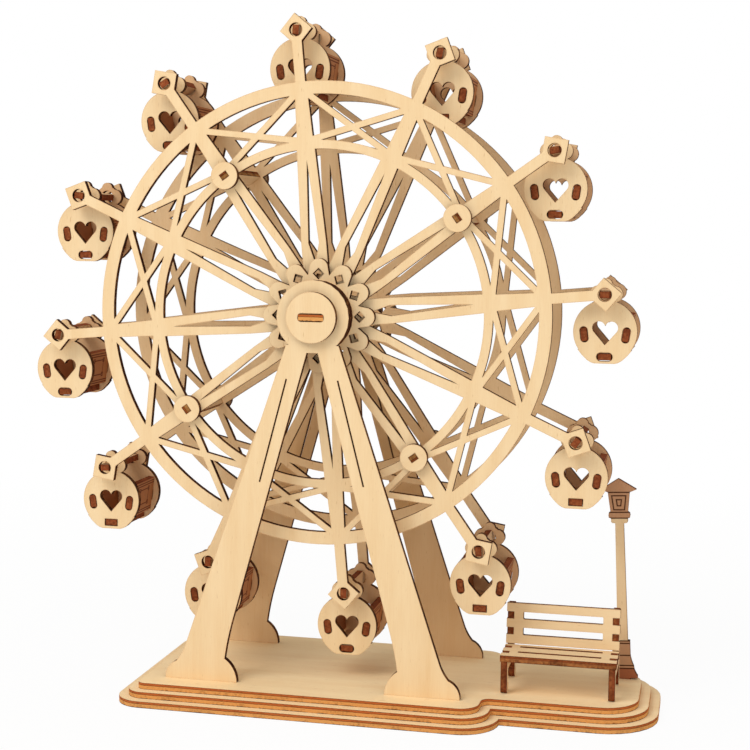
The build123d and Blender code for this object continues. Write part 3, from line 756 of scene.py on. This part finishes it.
bench_left, bench_right, bench_front, bench_rear = 86.2, 139.0, -21.8, -1.6
bench_inset, seat_height = 0.4, 27.2
seat_slit, seat_slit_y, slit_margin = 2.0, (-14.3, -5.5), 7.3
seat_tab_y, bench_tab_width = (-15.2, -6.3), 3.2
leg_width, rail_depth, foot_radius = 3.2, 4.0, 2.6
knee_y, rear_foot_y = 3.4, 10.6
back_gap, back_lean, back_height = 0.3, 6.0, 19.0
back_slot_rise, back_slot_height, back_slot_margin = (5.9, 13.3), 3.4, 7.8
slit_corner, slot_corner, knee_spread = 0.6, 0.5, 1.0

bench_width, bench_middle = bench_right - bench_left, (bench_left + bench_right) / 2
seat_under = seat_height - ply
end_depth, bench_slot = ply + bench_inset + tab_play, bench_tab_width + 2 * tab_play
back_foot = Vector((bench_rear + back_gap, seat_height + back_gap))
behind = Vector(polar(1, -back_lean))
rising = Vector(polar(1, 90 - back_lean))


def end_slots(places):
    """Steps that cut the open slots at both ends of the seat or the back."""
    ends = [side * (bench_width - end_depth) / 2 for side in (-1, 1)]
    return [(box(end_depth, bench_slot, (end, place)), False) for end in ends for place in places]


def back_point(depth, rise):
    """Point (y, z) behind the front face of the leaning back, up along it."""
    return tuple(back_foot + behind * depth + rising * rise)


seat_depth, seat_y = bench_rear - bench_front, (bench_front + bench_rear) / 2
slit_size = (bench_width - 2 * slit_margin, seat_slit, slit_corner)
seat_steps = [(box(bench_width, seat_depth), True)]
seat_steps += end_slots([tab - seat_y for tab in seat_tab_y])
seat_steps += [(soft_box(*slit_size, (0, slit - seat_y)), False) for slit in seat_slit_y]
seat_wood = plywood("bench_seat_plywood", grain=(1, 0, 0), shade=0.95, char=0.5, toast=0.5)
piece("bench_seat_board", cut_sheet("bench_seat_board", seat_steps), seat_wood,
      lying((bench_middle, seat_y, seat_under)), "base", "bench_ply", "bench_seat")

opening = (bench_width - 2 * back_slot_margin, back_slot_height, slot_corner)
back_steps = [(box(bench_width, back_height, (0, back_height / 2)), True)]
back_steps += end_slots(back_slot_rise)
back_steps += [(soft_box(*opening, (0, rise)), False) for rise in back_slot_rise]
back_wood = plywood("bench_back_plywood", grain=(1, 0, 0), shade=0.97, char=0.75)
back_rear = back_point(ply, 0)
piece("bench_back_board", cut_sheet("bench_back_board", back_steps), back_wood,
      lying((bench_middle, *back_rear), (1, 0, 0), (0, *rising)), "base", "bench_ply", "bench_back")

front_y = bench_front + bench_inset
front_foot, rear_foot = front_y + foot_radius, rear_foot_y - foot_radius
front_leg_rear, ankle = front_y + leg_width, deck_top + foot_radius
rail_rear, post_rear = knee_y + leg_width, ply + leg_width
rail_middle = ((rail_rear + front_y) / 2, seat_under - rail_depth / 2)
legs = [
    [(front_y, seat_under), (front_y, ankle), (front_leg_rear, ankle),
     (front_leg_rear, seat_under)],
    box(rail_rear - front_y, rail_depth, rail_middle),
    [(knee_y, seat_under), (rear_foot - leg_width / 2, ankle), (rear_foot + leg_width / 2, ankle),
     (rail_rear + knee_spread, seat_under)],
    [back_point(post_rear, -ply), back_point(post_rear, back_height), back_point(ply, back_height),
     back_point(ply, -ply)],
    circle(foot_radius, (front_foot, ankle)),
    circle(foot_radius, (rear_foot, ankle)),
]
legs += [box(bench_tab_width, ply, (tab, seat_height - ply / 2)) for tab in seat_tab_y]
back_tabs = [back_point(ply / 2, rise) for rise in back_slot_rise]
legs += [box(ply, bench_tab_width, tab, -back_lean) for tab in back_tabs]
side_mesh = cut_sheet("bench_side", [(outline, True) for outline in legs])
side_wood = plywood("bench_side_plywood", shade=0.75, char=0.5, toast=0.7)
sides = ("left", bench_left + bench_inset), ("right", bench_right - bench_inset - ply)
for hand, inner_x in sides:
    piece(f"bench_{hand}_frame", side_mesh, side_wood, lying((inner_x, 0, 0), (0, 1, 0), (0, 0, 1)),
          "base", "bench_ply", f"bench_{hand}_side")


# ======== lamp post ========
# One flat cut-out: a flared foot, a tapering stem with collars, and a lantern. Burnt
# lines mark its rings and panes, and smoke has browned its foot and head.

lamp_left, lamp_rear, lamp_lean = 133.8, 20.0, 3.1
lamp_foot_half = 6.6
lamp_half = (
    (lamp_foot_half, 0), (lamp_foot_half, 1.0), (6.15, 1.5), (5.4, 3.0), (5.0, 4.3),
    (4.9, 5.5), (4.5, 6.4), (3.9, 8.2), (3.5, 10.0), (3.4, 11.0), (3.4, 18.0), (2.4, 18.0),
    (2.0, 74.5), (3.4, 74.7), (3.9, 75.2), (3.9, 76.6), (4.2, 77.0), (4.9, 77.2), (5.1, 78.2),
    (4.9, 79.4), (4.2, 79.8), (4.1, 80.2), (5.1, 89.3), (8.3, 90.6), (0.9, 95.2), (0, 95.7),
)
lamp_rings = (4.7, 6.1, 11.0, 16.8, 18.0, 77.0, 79.8, 89.3)
panes = ((84.35, 3.35, 2.9, 0.12), (84.35, 1.45, 1.0, 0.14))
foot_top, foot_rim, head_low, lamp_line = 18.0, 4.7, 77.0, 0.36


def lamp_marks(place):
    """Burnt rings and panes, on a foot and a head that smoke has browned."""
    height = place.along((0, 1, 0)) / mm
    across = abs(place.along((1, 0, 0)) / mm)
    on_foot, on_rim = 1.0 - (height > foot_top), 1.0 - (height > foot_rim)
    browning = (height > head_low) * 0.62 + on_foot * 0.6 + on_rim * 0.3
    marks = [(browning, cut_toast)]
    marks += [(burnt_share(height - ring, lamp_line), char_brown) for ring in lamp_rings]
    for middle, half_height, half_width, spread in panes:
        from_side = across - half_width - (height - middle) * spread
        from_top = abs(height - middle) - half_height
        marks.append((burnt_share(from_side.math("MAXIMUM", from_top), lamp_line), char_brown))
    return marks


lamp_outline = [*lamp_half, *[(-x, z) for x, z in reversed(lamp_half[:-1])]]
lamp_tab = box(lamp_tab_width, ply, (0, -ply / 2))
lamp_mesh = cut_sheet("street_lamp", [(lamp_outline, True), (lamp_tab, True)])
lamp_wood = plywood("lamp_post_plywood", shade=0.93, char=0.85, marks=lamp_marks)
foot_x, foot_z = polar(lamp_foot_half, lamp_lean)
lamp_place = standing(lamp_rear, deck_top + foot_z, lamp_left + foot_x, lamp_lean)
piece("street_lamp", lamp_mesh, lamp_wood, lamp_place, "base", "lamp_ply", "lamp_post")


# ======== floor and light ========
# A white sweep under a large soft lamp at the front left, with a weaker one on the right.

floor_size, floor_fade_start, floor_fade = 8.0, 0.16, 0.5
floor_glow = 0.93
toy_middle = (0.02, 0, 0.14)


def area_light(name, place, size, power, tint):
    """A square soft light that looks at the toy."""
    lamp = bpy.data.lights.new(name, "AREA")
    lamp.size = size
    lamp.energy = power
    lamp.color = tint
    holder = bpy.data.objects.new(name, lamp)
    bpy.context.scene.collection.objects.link(holder)
    holder.location = place
    holder.rotation_euler = (Vector(toy_middle) - Vector(place)).to_track_quat("-Z", "Y").to_euler()


def white_floor():
    """Floor that takes a faint shadow under the toy and turns to pure white away from it."""
    material = bpy.data.materials.new("white_floor")
    material.use_nodes = True
    tree = material.node_tree
    tree.nodes.clear()
    new = Wire(tree).node
    paper = new("ShaderNodeTexNoise", {}, {"Scale": 3.0})
    tone = paper.mix((0.90, 0.90, 0.90, 1.0), (0.93, 0.93, 0.93, 1.0))
    matt = new("ShaderNodeBsdfDiffuse", {}, {"Color": tone})
    glow = new("ShaderNodeEmission", {}, {"Color": (1.0, 1.0, 1.0, 1.0), "Strength": 1.0})
    place = new("ShaderNodeTexCoord", output="Object")
    away = ((place.vector("LENGTH", output="Value") - floor_fade_start) / floor_fade).clamp()
    camera_ray = new("ShaderNodeLightPath", output="Is Camera Ray")
    seen = camera_ray * (floor_glow + away * (1.0 - floor_glow))
    surface = new("ShaderNodeMixShader", {}, {0: seen, 1: matt, 2: glow})
    new("ShaderNodeOutputMaterial", {}, {"Surface": surface})
    return material


floor_plane = bpy.data.meshes.new("floor")
floor_corners = [(x, y, 0) for x, y in box(floor_size, floor_size)]
floor_plane.from_pydata(floor_corners, [], [(0, 1, 2, 3)])
floor_plane.materials.append(white_floor())
floor = bpy.data.objects.new("floor", floor_plane)
bpy.context.scene.collection.objects.link(floor)

area_light("key_light", (-0.75, -1.00, 1.38), size=1.0, power=14.6, tint=(1.0, 0.985, 0.96))
area_light("fill_light", (1.2, -1.0, 0.6), size=1.0, power=2.6, tint=(1.0, 0.96, 0.90))

sky = bpy.data.worlds.new("white_room")
bpy.context.scene.world = sky
sky.use_nodes = True
sky.node_tree.nodes.clear()
air = Wire(sky.node_tree).node
room = air("ShaderNodeBackground", {}, {"Color": (1.0, 0.97, 0.92, 1.0), "Strength": 0.63})
backdrop = air("ShaderNodeBackground", {}, {"Color": (1.0, 1.0, 1.0, 1.0), "Strength": 1.0})
seen_directly = air("ShaderNodeLightPath", output="Is Camera Ray")
shown = air("ShaderNodeMixShader", {}, {0: seen_directly, 1: room, 2: backdrop})
air("ShaderNodeOutputWorld", {}, {"Surface": shown})
